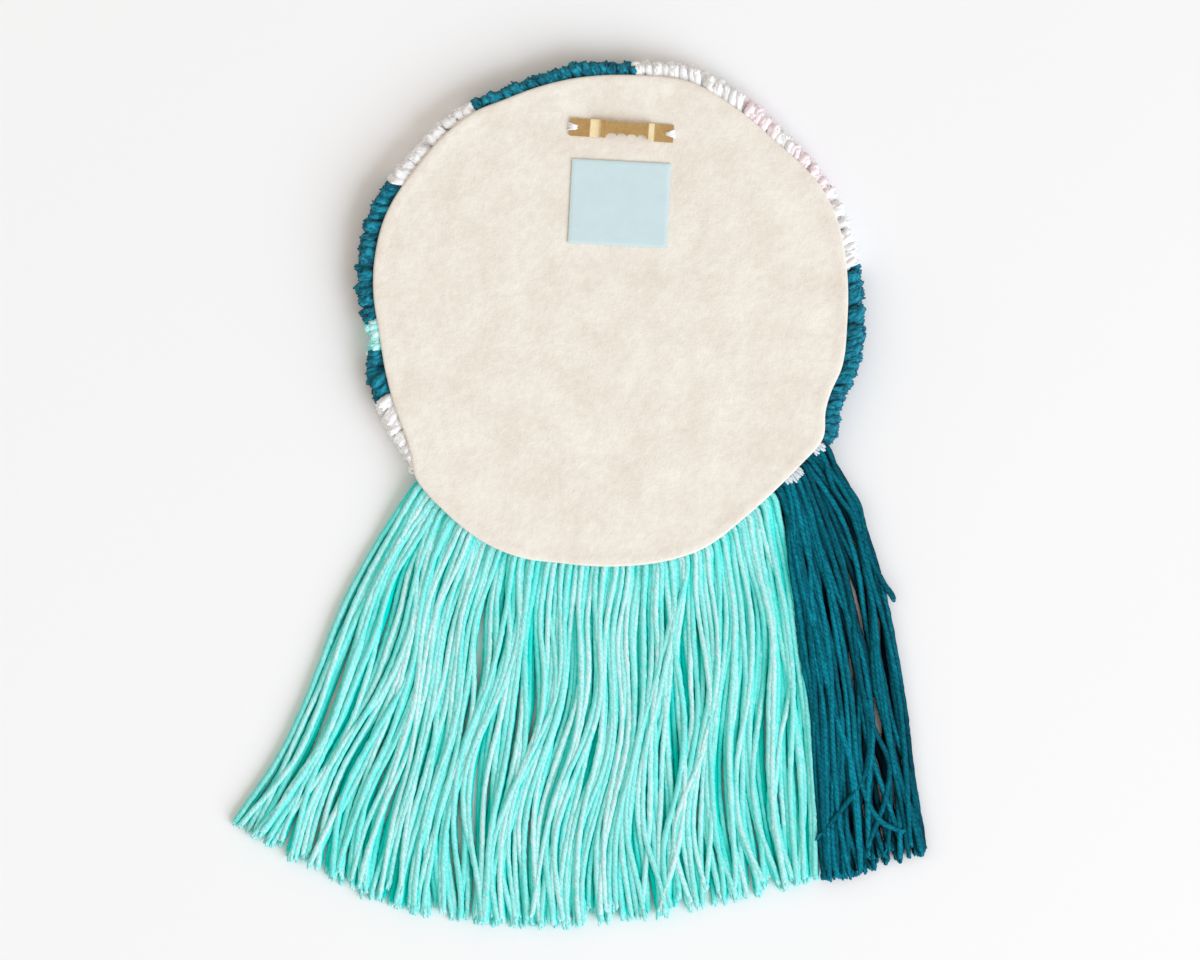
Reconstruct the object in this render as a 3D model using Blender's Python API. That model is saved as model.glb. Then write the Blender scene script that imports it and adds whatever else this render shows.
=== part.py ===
"""Round tufted wall hanging, lying face down with its felt back, hanger and label up.

Metres, +Z up. +Y points to the top of the hanging, +X to the right as its back is seen.
Angles are in degrees round the disc's centre, counterclockwise from +X.
"""

import math
from bisect import bisect_right
from collections import namedtuple

import bmesh
import bpy
import numpy as np
from mathutils import Vector

MM = 0.001
GAP = 0.3 * MM  # between neighbouring pieces
SEED = 7

# Heights of the layers
PILE_TOP = 11.0 * MM
BACKING_BOTTOM = PILE_TOP + GAP
BACKING_THICK = 2.0 * MM
BACKING_TOP = BACKING_BOTTOM + BACKING_THICK
SEWN_ON = BACKING_TOP + GAP  # underside of the label and of the hanger's tabs

# Felt back: how its turned edge is rounded and how its surface waves
HEM_ROLL = 0.35 * MM
BACKING_COLUMNS = 108
WAVE_HEIGHT = 0.35 * MM
Wave = namedtuple("Wave", "along_x along_y start")  # radians a metre, and radians at the centre
WAVES = [Wave(31, 17, 0.6), Wave(-23, 41, 2.1), Wave(58, -9, 0.0)]
Ring = namedtuple("Ring", "inset rise")  # from the edge inwards, and above the underside
BACKING_TOP_RINGS = [
    Ring(75 * MM, BACKING_THICK),
    Ring(50 * MM, BACKING_THICK),
    Ring(28 * MM, BACKING_THICK),
    Ring(12 * MM, BACKING_THICK),
    Ring(5.5 * MM, BACKING_THICK - 0.15 * MM),
    Ring(2.2 * MM, BACKING_THICK + HEM_ROLL),
    Ring(0.5 * MM, BACKING_THICK - 0.2 * MM),
    Ring(0.0 * MM, 0.9 * MM),
    Ring(1.2 * MM, 0.0 * MM),
]
WAVED_RINGS = 4

# Level stretch of the felt under the label and the hanger, and how far off the waves have grown
LEVEL_HALF = 26 * MM
LEVEL_FROM = 28 * MM
LEVEL_TO = 92 * MM
LEVEL_FADE = 18 * MM

# Outline of the felt back: uneven, with a blunt corner where the teal fringe ends
Edge = namedtuple("Edge", "angle radius")
BACKING_EDGE = [
    Edge(0, 102.3), Edge(13, 104.7), Edge(24, 107.4), Edge(33, 107.9), Edge(47, 105.6),
    Edge(60, 107.0), Edge(72, 109.2), Edge(84, 107.1), Edge(97, 106.4), Edge(115, 106.4),
    Edge(123, 108.2), Edge(131, 108.3), Edge(142, 107.6), Edge(155, 107.9), Edge(165, 106.0),
    Edge(173, 103.8), Edge(182, 100.8), Edge(190, 100.1), Edge(202, 100.8), Edge(209, 101.9),
    Edge(214, 104.5), Edge(219, 108.6), Edge(228, 109.5), Edge(241, 110.5), Edge(250, 109.4),
    Edge(258, 107.1), Edge(270, 106.3), Edge(291, 106.4), Edge(304, 103.0), Edge(314, 102.1),
    Edge(323, 103.1), Edge(331, 104.9), Edge(337, 100.9), Edge(342, 100.1), Edge(349, 102.0),
]

# How far the pile's locks stand out past the felt, in mm
Reach = namedtuple("Reach", "angle reach")
PILE_REACH = [
    Reach(0, 9.1), Reach(14, 7.4), Reach(30, 5.9), Reach(44, 7.0), Reach(54, 8.9),
    Reach(70, 8.3), Reach(88, 6.9), Reach(95, 8.6), Reach(102, 6.9), Reach(122, 7.0),
    Reach(135, 7.3), Reach(150, 9.0), Reach(170, 8.3), Reach(178, 7.0), Reach(183, 5.6),
    Reach(190, 10.0), Reach(197, 9.4), Reach(205, 8.6), Reach(212, 5.4), Reach(217, 2.6),
    Reach(332, 6.5), Reach(345, 9.2),
]

# Tufted face: the open stretch of its rim carries locks, the rest is set back for the fringe
RIM_FROM = -28.0
RIM_TO = 217.6
RIM_COLUMNS = 104
SETBACK_FROM = 218.8
SETBACK_TO = 330.8
SETBACK_COLUMNS = 20
SETBACK = 9.0 * MM
BODY_SHARE = 0.35  # share of the reach that the slab itself fills
LUMP = 0.7 * MM
PILE_RINGS = [  # inset from the body's side, and height
    Ring(1.6 * MM, PILE_TOP),
    Ring(0.4 * MM, 9.8 * MM),
    Ring(0.0 * MM, 7.0 * MM),
    Ring(0.0 * MM, 5.6 * MM),
    Ring(0.6 * MM, 2.6 * MM),
    Ring(2.4 * MM, 1.0 * MM),
    Ring(6.0 * MM, 0.0 * MM),
]
UPPER_LOCKS = 1  # index of the ring above the row of locks
LOWER_LOCKS = 3
LOCK_TAPER = (0.55, 0.85)  # least and most of its root's size left at a lock's tip
LOCK_LENGTH = (0.72, 1.06)  # least and most share of the reach
LOCK_LEAN = 14.0  # most degrees off the radius
LOCK_DROOP = 2.0 * MM
LOCK_LEAST_Z = 0.4 * MM
LOCK_LEAST = 2.0 * MM
LOCK_BEND = 0.55  # share of its length from which a lock tapers

# Fringe: one strip of fused roots under the felt's edge, and yarn strands that lie on the surface
STRIP_INNER = 8.4 * MM
STRIP_OUTER = 2.6 * MM
YARN = 2.6 * MM
ROOT_WIDTH = 1.9 * MM
ROOT_HEIGHT = 2.0 * MM
STRAND_STEPS = [0.0, 0.045, 0.17, 0.45, 0.73, 1.0]  # shares of its length where a strand bends
STRAND_WIDTHS = [ROOT_WIDTH, 1.9 * MM, 2.4 * MM, YARN, YARN, YARN]
STRAND_HEIGHTS = [ROOT_HEIGHT, 2.1 * MM, 2.2 * MM, 2.3 * MM, 2.3 * MM, 2.3 * MM]
STRAND_DROP = [0.0, 0.35, 1.0, 1.0, 1.0, 1.0]  # from its root's height to its bed's
BEND_REACH = 0.01  # share of a strand's length over which its direction is taken
LAYER = 2.3 * MM + GAP
LEAD = 5.0 * MM  # how far past the felt a strand keeps the way it leaves its root
SWAY = 0.5 * MM
SWAY_FROM = 3  # first of the steps that sways
RAGGED = 0.03  # share of its length by which an end may be cut short

# Courses of a few strands, by the angle of their root: points in mm from the disc's centre
Guide = namedtuple("Guide", "rank angle x1 y1 x2 y2 x3 y3")
AQUA_GUIDES = [
    Guide(0.000, 221.0, -116.8, -123.3, -141.9, -186.5, -163.6, -218.5),
    Guide(0.075, 226.0, -101.0, -129.5, -127.0, -190.0, -141.5, -229.0),
    Guide(0.190, 233.5, -82.6, -142.4, -104.0, -203.0, -107.0, -249.0),
    Guide(0.300, 242.5, -65.3, -155.3, -78.5, -207.5, -80.0, -257.0),
    Guide(0.430, 254.0, -35.5, -159.7, -48.5, -220.0, -49.5, -264.0),
    Guide(0.555, 267.5, -9.5, -164.0, -18.0, -220.0, -22.0, -265.5),
    Guide(0.690, 281.0, 17.0, -164.0, 12.0, -220.0, 12.5, -262.7),
    Guide(0.830, 294.5, 46.5, -164.0, 44.5, -220.0, 46.5, -257.0),
    Guide(0.945, 305.5, 70.0, -155.0, 74.5, -216.0, 77.0, -249.0),
    Guide(1.000, 311.0, 80.0, -142.4, 84.5, -190.0, 87.5, -245.3),
]
TEAL_GUIDES = [
    Guide(0.00, 315.0, 85.0, -130.0, 89.5, -190.0, 95.5, -244.0),
    Guide(0.35, 319.5, 92.5, -128.0, 98.0, -182.0, 106.0, -238.0),
    Guide(0.65, 323.5, 102.0, -124.0, 111.5, -176.0, 121.0, -236.0),
    Guide(1.00, 328.5, 113.0, -104.0, 129.0, -166.0, 137.0, -230.0),
]
LOOSE_END = Guide(1.0, 328.9, 113.5, -86.0, 119.5, -103.0, 124.5, -120.0)
AQUA_ROWS = [2.4 * MM, 7.0 * MM]  # heights of the roots' rows
TEAL_ROWS = [1.9 * MM, 5.2 * MM, 8.5 * MM]
AQUA_PER_ROW = 51
TEAL_PER_ROW = 9
ROW_SHIFT = 0.5  # share of the strands' spacing by which every other row is shifted
STRIP_MARGIN = 1.5  # degrees of strip past its end strands

# Label, bare
LABEL_AT = Vector((3.6 * MM, 50.9 * MM))
LABEL_TURN = -3.0
LABEL_SIZE = (42.7 * MM, 36.4 * MM)
LABEL_THICK = 1.0 * MM
LABEL_CORNER = 0.8 * MM

# Sawtooth hanger: tabs with a notch at each end, and a raised middle with scallops along its lower edge
HANGER_AT = Vector((4.6 * MM, 82.4 * MM))
HANGER_TURN = -4.1
HANGER_THICK = 0.8 * MM
HANGER_LIFT = 2.0 * MM
TAB_HALF = 3.8 * MM
NOTCH_HALF = 1.2 * MM
NOTCH_DEPTH = 2.7 * MM
TAB_END = 22.4 * MM
TAB_INNER = 14.6 * MM
RAISED_FROM = 12.2 * MM
TOOTH_PITCH = 4.4 * MM
TEETH = 4
TEETH_CENTRE = 2.4 * MM
TOOTH_TIP = -2.6 * MM
TOOTH_DEPTH = 0.9 * MM
TOOTH_SHOULDER = 0.4 * MM
SEAT_HALF = 0.5 * MM  # flat middle of a scallop
SCALLOP_HALF = 1.3 * MM  # from its middle to where it is still this deep
SCALLOP_SIDE = 0.7
MIDDLE_TOP = 3.3 * MM
Column = namedtuple("Column", "x low high")  # a station along the hanger and its two edges there

# Surface colours, roughness and metallic value
Look = namedtuple("Look", "colour roughness metallic")
LOOKS = {
    "backing": Look((0.84, 0.78, 0.69), 0.95, 0.0),
    "tufted_face": Look((0.02, 0.19, 0.26), 0.95, 0.0),
    "fringe_aqua": Look((0.19, 0.68, 0.62), 0.9, 0.0),
    "fringe_teal": Look((0.01, 0.13, 0.19), 0.9, 0.0),
    "label": Look((0.60, 0.77, 0.78), 0.8, 0.0),
    "sawtooth_hanger": Look((0.54, 0.34, 0.12), 0.35, 1.0),
}


def round_trip(rows, angle):
    """Second column of a table of angles, on a smooth curve that closes after 360 degrees."""
    angles = [row[0] for row in rows]
    values = [row[1] for row in rows]
    count = len(rows)
    after = bisect_right(angles, angle % 360.0)
    spots = [after - 2, after - 1, after, after + 1]
    a = [angles[k % count] + 360.0 * (k // count) for k in spots]
    v = [values[k % count] for k in spots]
    here = angle % 360.0
    span = a[2] - a[1]
    t = (here - a[1]) / span
    slope_1 = (v[2] - v[0]) / (a[2] - a[0]) * span
    slope_2 = (v[3] - v[1]) / (a[3] - a[1]) * span
    return (
        v[1] * (2 * t**3 - 3 * t**2 + 1)
        + slope_1 * (t**3 - 2 * t**2 + t)
        + v[2] * (3 * t**2 - 2 * t**3)
        + slope_2 * (t**3 - t**2)
    )


def felt_radius(angle):
    return round_trip(BACKING_EDGE, angle) * MM


def pile_reach(angle):
    return round_trip(PILE_REACH, angle) * MM


def polar(radius, angle, z):
    turn = math.radians(angle)
    return Vector((radius * math.cos(turn), radius * math.sin(turn), z))


def smooth(share):
    share = min(max(share, 0.0), 1.0)
    return share * share * (3.0 - 2.0 * share)


def flat_patch(x, y):
    """0 under the label and the hanger, 1 well away from them."""
    away_x = max(abs(x - LABEL_AT.x) - LEVEL_HALF, 0.0)
    away_y = max(LEVEL_FROM - y, y - LEVEL_TO, 0.0)
    return smooth(math.hypot(away_x, away_y) / LEVEL_FADE)


def surface_wave(x, y):
    """Faint unevenness of the felt, the mean of a few long waves."""
    total = sum(math.sin(wave.along_x * x + wave.along_y * y + wave.start) for wave in WAVES)
    return WAVE_HEIGHT * total / len(WAVES) * flat_patch(x, y)


def ring_faces(bm, above, below):
    """Closed band of quads between two rings of vertices."""
    count = len(above)
    for k in range(count):
        after = (k + 1) % count
        bm.faces.new((above[k], above[after], below[after], below[k]))


def finish_object(bm, name):
    """Turns the faces outwards and makes the named object with its material."""
    bmesh.ops.recalc_face_normals(bm, faces=bm.faces)
    mesh = bpy.data.meshes.new(name)
    bm.to_mesh(mesh)
    bm.free()
    look = LOOKS[name]
    material = bpy.data.materials.new(name)
    material.use_nodes = True
    shader = material.node_tree.nodes["Principled BSDF"]
    shader.inputs["Base Color"].default_value = (*look.colour, 1.0)
    shader.inputs["Roughness"].default_value = look.roughness
    shader.inputs["Metallic"].default_value = look.metallic
    mesh.materials.append(material)
    obj = bpy.data.objects.new(name, mesh)
    bpy.context.scene.collection.objects.link(obj)
    return obj


def make_backing():
    """Felt disc: waved top, rolled edge, flat underside."""
    bm = bmesh.new()
    angles = [360.0 * k / BACKING_COLUMNS for k in range(BACKING_COLUMNS)]
    rings = []
    for number, ring in enumerate(BACKING_TOP_RINGS):
        row = []
        for angle in angles:
            point = polar(felt_radius(angle) - ring.inset, angle, BACKING_BOTTOM + ring.rise)
            if 0 < number < WAVED_RINGS:
                point.z += surface_wave(point.x, point.y)
            row.append(bm.verts.new(point))
        rings.append(row)
    for above, below in zip(rings, rings[1:]):
        ring_faces(bm, above, below)
    bm.faces.new(rings[0])
    bm.faces.new(rings[-1])
    return finish_object(bm, "backing")


def grow(bm, root, rings):
    """Grows a four-sided strand out of four root vertices, through rings of four points each."""
    last = root
    for ring in rings:
        row = [bm.verts.new(point) for point in ring]
        ring_faces(bm, last, row)
        last = row
    bm.faces.new(last)


def lock_rings(corners, angle, reach, droop, rng):
    """Two rings of a tapering lock of pile that leans out past the felt's edge."""
    middle = sum(corners, Vector()) / 4
    outward = polar(1.0, angle + rng.uniform(-LOCK_LEAN, LOCK_LEAN), 0.0)
    tip = polar(felt_radius(angle) + reach * rng.uniform(*LOCK_LENGTH), angle, 0.0)
    length = max((tip - middle).to_2d().length, LOCK_LEAST)
    rings = []
    for share, taper in ((LOCK_BEND, 1.0), (1.0, rng.uniform(*LOCK_TAPER))):
        shift = outward * length * share + Vector((0, 0, -droop * share**2))
        ring = [middle + (corner - middle) * taper + shift for corner in corners]
        for point in ring:
            point.z = max(point.z, LOCK_LEAST_Z)
        rings.append(ring)
    return rings


def make_tufted_face():
    """Lumpy slab of pile, flat below and above, with two rows of locks round its open rim."""
    rng = np.random.default_rng(SEED)
    step = (RIM_TO - RIM_FROM) / RIM_COLUMNS
    rim = [RIM_FROM + step * k for k in range(RIM_COLUMNS + 1)]
    step = (SETBACK_TO - SETBACK_FROM) / SETBACK_COLUMNS
    back = [SETBACK_FROM + step * k for k in range(SETBACK_COLUMNS + 1)]
    sides = [
        felt_radius(angle) + BODY_SHARE * pile_reach(angle) - abs(rng.normal(0, LUMP)) for angle in rim
    ]
    sides += [felt_radius(angle) - SETBACK for angle in back]
    bm = bmesh.new()
    rings = []
    for ring in PILE_RINGS:
        points = [polar(side - ring.inset, angle, ring.rise) for side, angle in zip(sides, rim + back)]
        rings.append([bm.verts.new(point) for point in points])
    bm.faces.new(rings[0])
    bm.faces.new(rings[-1])
    count = len(sides)
    for number, (above, below) in enumerate(zip(rings, rings[1:])):
        for k in range(count):
            corners = (above[k], above[(k + 1) % count], below[(k + 1) % count], below[k])
            upper = number == UPPER_LOCKS and k % 2 == 0
            lower = number == LOWER_LOCKS and k % 2 == 1
            if k < RIM_COLUMNS and (upper or lower):
                angle = (rim[k] + rim[k + 1]) / 2
                droop = LOCK_DROOP if upper else LOCK_DROOP / 2
                places = [corner.co.copy() for corner in corners]
                grow(bm, corners, lock_rings(places, angle, pile_reach(angle), droop, rng))
            else:
                bm.faces.new(corners)
    return finish_object(bm, "tufted_face")


def guide_at(guides, rank):
    """A guide between the table's rows, for a strand at this rank."""
    for left, right in zip(guides, guides[1:]):
        if rank <= right.rank:
            break
    share = (rank - left.rank) / (right.rank - left.rank)
    return Guide(*(a + (b - a) * share for a, b in zip(left, right)))


def course(guide, share):
    """Point at a share of a strand's length, on a smooth curve from the strip to its end."""
    start = polar(felt_radius(guide.angle) - STRIP_OUTER, guide.angle, 0.0)
    lead = polar(felt_radius(guide.angle) + LEAD, guide.angle, 0.0)
    ends = [Vector((guide.x1, guide.y1, 0)) * MM, Vector((guide.x2, guide.y2, 0)) * MM]
    ends.append(Vector((guide.x3, guide.y3, 0)) * MM)
    route = [start, lead, *ends]
    lengths = [0.0]
    for a, b in zip(route, route[1:]):
        lengths.append(lengths[-1] + (b - a).length)
    want = share * lengths[-1]
    k = min(max(bisect_right(lengths, want) - 1, 0), len(route) - 2)
    t = (want - lengths[k]) / (lengths[k + 1] - lengths[k])
    before = route[k - 1] if k > 0 else route[k] * 2 - route[k + 1]
    after = route[k + 2] if k + 2 < len(route) else route[k + 1] * 2 - route[k]
    here, there = route[k], route[k + 1]
    slope_1 = (there - before) / 2
    slope_2 = (after - here) / 2
    return (
        here * (2 * t**3 - 3 * t**2 + 1)
        + slope_1 * (t**3 - 2 * t**2 + t)
        + there * (3 * t**2 - 2 * t**3)
        + slope_2 * (t**3 - t**2)
    )


def strand_rings(guide, root_z, bed_z, rng):
    """Rings of a strand after its root: it leaves the strip, drops to its bed and lies level."""
    sway = rng.uniform(-SWAY, SWAY)
    cut = 1.0 - rng.uniform(0, RAGGED)
    rings = []
    for number in range(1, len(STRAND_STEPS)):
        share = STRAND_STEPS[number] * cut
        point = course(guide, share)
        along = (course(guide, share + BEND_REACH) - course(guide, share - BEND_REACH)).normalized()
        side = Vector((-along.y, along.x, 0))
        if number >= SWAY_FROM:
            point += side * sway * (-1) ** number
        drop = STRAND_DROP[number]
        point.z = root_z + (bed_z - root_z) * drop
        half = side * STRAND_WIDTHS[number] / 2
        up = Vector((0, 0, STRAND_HEIGHTS[number] / 2))
        point.z += up.z * drop
        rings.append([point - half + up, point + half + up, point + half - up, point - half - up])
    return rings


def make_fringe(name, guides, root_rows, per_row, loose_end):
    """Strip of fused roots with rows of strands. A loose end replaces the lowest row's last strand."""
    rng = np.random.default_rng(SEED)
    heights = [0.0]
    for root_z in root_rows:
        heights += [root_z - ROOT_HEIGHT / 2, root_z + ROOT_HEIGHT / 2]
    heights.append(PILE_TOP)
    ranks = [(number + ROW_SHIFT / 2) / (per_row - ROW_SHIFT) for number in range(per_row)]
    roots = [guide_at(guides, rank).angle for rank in ranks]
    angles = [guides[0].angle - STRIP_MARGIN]
    for angle in roots:
        half = math.degrees(ROOT_WIDTH / 2 / felt_radius(angle))
        angles += [angle - half, angle + half]
    angles.append(guides[-1].angle + STRIP_MARGIN)
    bm = bmesh.new()
    outer = []
    inner = []
    for angle in angles:
        face = felt_radius(angle) - STRIP_OUTER
        outer.append([bm.verts.new(polar(face, angle, z)) for z in heights])
        back = felt_radius(angle) - STRIP_INNER
        inner.append([bm.verts.new(polar(back, angle, z)) for z in (heights[0], heights[-1])])
    for k in range(len(angles) - 1):
        left, right = outer[k], outer[k + 1]
        for j in range(len(heights) - 1):
            corners = (left[j + 1], right[j + 1], right[j], left[j])
            if k % 2 and j % 2:
                row, number = j // 2, k // 2
                rank = (number + ROW_SHIFT / 2 + ROW_SHIFT * (row % 2)) / (per_row - ROW_SHIFT)
                guide = guide_at(guides, min(rank, 1.0))
                if loose_end and row == 0 and number == per_row - 1:
                    guide = loose_end
                guide = guide._replace(angle=roots[number])
                grow(bm, corners, strand_rings(guide, root_rows[row], row * LAYER, rng))
            else:
                bm.faces.new(corners)
        near, far = inner[k], inner[k + 1]
        bm.faces.new((near[0], far[0], far[1], near[1]))
        bm.faces.new((left[-1], near[1], far[1], right[-1]))
        bm.faces.new((left[0], right[0], far[0], near[0]))
    for edge, back in ((outer[0], inner[0]), (outer[-1], inner[-1])):
        bm.faces.new((*edge, back[1], back[0]))
    return finish_object(bm, name)


def make_label():
    """Thin blank label with softly cut corners."""
    bm = bmesh.new()
    bmesh.ops.create_cube(bm, size=1.0)
    bmesh.ops.scale(bm, vec=(*LABEL_SIZE, LABEL_THICK), verts=bm.verts)
    upright = [edge for edge in bm.edges if abs((edge.verts[0].co - edge.verts[1].co).z) > LABEL_THICK / 2]
    bmesh.ops.bevel(bm, geom=upright, offset=LABEL_CORNER, segments=2, profile=0.5, affect="EDGES")
    obj = finish_object(bm, "label")
    obj.rotation_euler.z = math.radians(LABEL_TURN)
    obj.location = (*LABEL_AT, SEWN_ON + LABEL_THICK / 2)
    return obj


def hanger_lift(x):
    """Height of the hanger's underside over its tabs: flat tabs, a ramp, and the raised middle."""
    return HANGER_LIFT * smooth((TAB_INNER - abs(x)) / (TAB_INNER - RAISED_FROM))


def hanger_columns():
    """Stations from the left end of the hanger to the right one."""
    tab = [-TAB_END, -TAB_END + NOTCH_DEPTH, -TAB_INNER, -(TAB_INNER + RAISED_FROM) / 2, -RAISED_FROM]
    columns = [Column(x, -TAB_HALF, TAB_HALF) for x in tab]
    left = TEETH_CENTRE - TEETH / 2 * TOOTH_PITCH
    columns.append(Column(left - TOOTH_SHOULDER, -TAB_HALF, TAB_HALF))
    columns.append(Column(left, TOOTH_TIP, MIDDLE_TOP))
    for tooth in range(TEETH):
        centre = left + (tooth + 0.5) * TOOTH_PITCH
        for x in (-SCALLOP_HALF, -SEAT_HALF, SEAT_HALF, SCALLOP_HALF):
            deep = 1.0 if abs(x) == SEAT_HALF else SCALLOP_SIDE
            columns.append(Column(centre + x, TOOTH_TIP + TOOTH_DEPTH * deep, MIDDLE_TOP))
        columns.append(Column(centre + TOOTH_PITCH / 2, TOOTH_TIP, MIDDLE_TOP))
    columns.append(Column(columns[-1].x + TOOTH_SHOULDER, -TAB_HALF, TAB_HALF))
    columns += [Column(-x, -TAB_HALF, TAB_HALF) for x in reversed(tab)]
    return columns


def make_hanger():
    """Brass strip of three bands of cells; the middle band leaves out the notches at the ends."""
    columns = hanger_columns()
    bm = bmesh.new()
    top = []
    under = []
    for column in columns:
        z = SEWN_ON + hanger_lift(column.x)
        across = (column.low, -NOTCH_HALF, NOTCH_HALF, column.high)
        top.append([bm.verts.new((column.x, y, z + HANGER_THICK)) for y in across])
        under.append([bm.verts.new((column.x, y, z)) for y in across])
    last = len(columns) - 2
    cells = {(k, j) for k in range(last + 1) for j in range(3)} - {(0, 1), (last, 1)}
    for k, j in sorted(cells):
        corners = [(k, j), (k + 1, j), (k + 1, j + 1), (k, j + 1)]
        neighbours = [(k, j - 1), (k + 1, j), (k, j + 1), (k - 1, j)]
        bm.faces.new([top[a][b] for a, b in corners])
        bm.faces.new([under[a][b] for a, b in reversed(corners)])
        for side, neighbour in enumerate(neighbours):
            if neighbour not in cells:
                a, b = corners[side]
                c, d = corners[(side + 1) % 4]
                bm.faces.new((top[a][b], under[a][b], under[c][d], top[c][d]))
    obj = finish_object(bm, "sawtooth_hanger")
    obj.rotation_euler.z = math.radians(HANGER_TURN)
    obj.location = (*HANGER_AT, 0.0)
    return obj


def centre_over_origin(objects):
    """Moves everything so that the middle of its box lies over the origin, on z = 0."""
    bpy.context.view_layer.update()
    corners = np.array([obj.matrix_world @ vert.co for obj in objects for vert in obj.data.vertices])
    low, high = corners.min(axis=0), corners.max(axis=0)
    for obj in objects:
        obj.location.x -= (low[0] + high[0]) / 2
        obj.location.y -= (low[1] + high[1]) / 2
        obj.location.z -= low[2]


def main():
    for obj in list(bpy.data.objects):
        bpy.data.objects.remove(obj)
    objects = [
        make_backing(),
        make_tufted_face(),
        make_fringe("fringe_aqua", AQUA_GUIDES, AQUA_ROWS, AQUA_PER_ROW, None),
        make_fringe("fringe_teal", TEAL_GUIDES, TEAL_ROWS, TEAL_PER_ROW, LOOSE_END),
        make_label(),
        make_hanger(),
    ]
    centre_over_origin(objects)


main()
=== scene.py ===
import math
from bisect import bisect_right
from collections import namedtuple

import bmesh
import bpy
import numpy as np
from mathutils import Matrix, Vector, noise


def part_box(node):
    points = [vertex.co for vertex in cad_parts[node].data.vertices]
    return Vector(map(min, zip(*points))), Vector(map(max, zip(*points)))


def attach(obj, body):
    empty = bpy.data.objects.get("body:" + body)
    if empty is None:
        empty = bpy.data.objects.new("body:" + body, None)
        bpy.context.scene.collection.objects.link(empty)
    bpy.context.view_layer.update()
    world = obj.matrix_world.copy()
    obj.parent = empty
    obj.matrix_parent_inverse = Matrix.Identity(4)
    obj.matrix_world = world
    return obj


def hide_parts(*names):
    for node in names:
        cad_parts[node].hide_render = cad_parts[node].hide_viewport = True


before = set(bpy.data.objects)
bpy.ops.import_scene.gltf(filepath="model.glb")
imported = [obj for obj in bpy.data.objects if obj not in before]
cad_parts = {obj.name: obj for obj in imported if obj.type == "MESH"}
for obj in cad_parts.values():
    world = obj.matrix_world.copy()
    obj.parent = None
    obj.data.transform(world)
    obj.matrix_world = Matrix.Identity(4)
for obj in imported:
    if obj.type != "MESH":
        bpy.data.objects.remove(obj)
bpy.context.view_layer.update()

MM = 0.001
SEED = 11

# Layers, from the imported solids
LOW, HIGH = 0, 1
LABEL_LOW, LABEL_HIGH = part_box("label")
PILE_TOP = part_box("tufted_face")[HIGH][2]
FELT_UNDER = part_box("backing")[LOW][2]
FELT_TOP = FELT_UNDER + 2.0 * MM
SEWN_ON = LABEL_LOW[2]

# The disc's centre, from the label, which lies this far right of it and above it
LABEL_AT = Vector((3.6 * MM, 50.9 * MM))
DISC = Vector(((LABEL_LOW[0] + LABEL_HIGH[0]) / 2, (LABEL_LOW[1] + LABEL_HIGH[1]) / 2)) - LABEL_AT

# Outline of the felt back: angle counterclockwise from +X in degrees, radius in mm
Edge = namedtuple("Edge", "angle radius")
FELT_EDGE = [
    Edge(0, 102.3), Edge(13, 104.7), Edge(24, 107.4), Edge(33, 107.9), Edge(47, 105.6),
    Edge(60, 107.0), Edge(72, 109.2), Edge(84, 107.1), Edge(97, 106.4), Edge(115, 106.4),
    Edge(123, 108.2), Edge(131, 108.3), Edge(142, 107.6), Edge(155, 107.9), Edge(165, 106.0),
    Edge(173, 103.8), Edge(182, 100.8), Edge(190, 100.1), Edge(202, 100.8), Edge(209, 101.9),
    Edge(214, 104.5), Edge(219, 108.6), Edge(228, 109.5), Edge(241, 110.5), Edge(250, 109.4),
    Edge(258, 107.1), Edge(270, 106.3), Edge(291, 106.4), Edge(304, 103.0), Edge(314, 102.1),
    Edge(323, 103.1), Edge(331, 104.9), Edge(337, 100.9), Edge(342, 100.1), Edge(349, 102.0),
]

# How far the pile stands out past the felt, in mm
Reach = namedtuple("Reach", "angle reach")
PILE_REACH = [
    Reach(0, 9.1), Reach(14, 7.4), Reach(30, 5.9), Reach(44, 7.0), Reach(54, 8.9),
    Reach(70, 8.3), Reach(88, 6.9), Reach(95, 8.6), Reach(102, 6.9), Reach(122, 7.0),
    Reach(135, 7.3), Reach(150, 9.0), Reach(170, 8.3), Reach(178, 7.0), Reach(183, 5.6),
    Reach(190, 10.0), Reach(197, 9.4), Reach(205, 8.6), Reach(212, 5.4), Reach(217, 2.6),
    Reach(332, 6.5), Reach(345, 9.2),
]

# Colour blocks round the rim, counterclockwise, each up to its last angle
Block = namedtuple("Block", "to colour")
RIM_FROM = -29.0
RIM_BLOCKS = [
    Block(11.5, "teal"), Block(29.0, "white"), Block(43.0, "pink"), Block(48.5, "white"),
    Block(58.0, "pink"), Block(84.5, "white"), Block(123.0, "teal"), Block(146.0, "white"),
    Block(178.5, "teal"), Block(188.0, "aqua"), Block(198.5, "teal"), Block(217.5, "white"),
]

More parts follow.
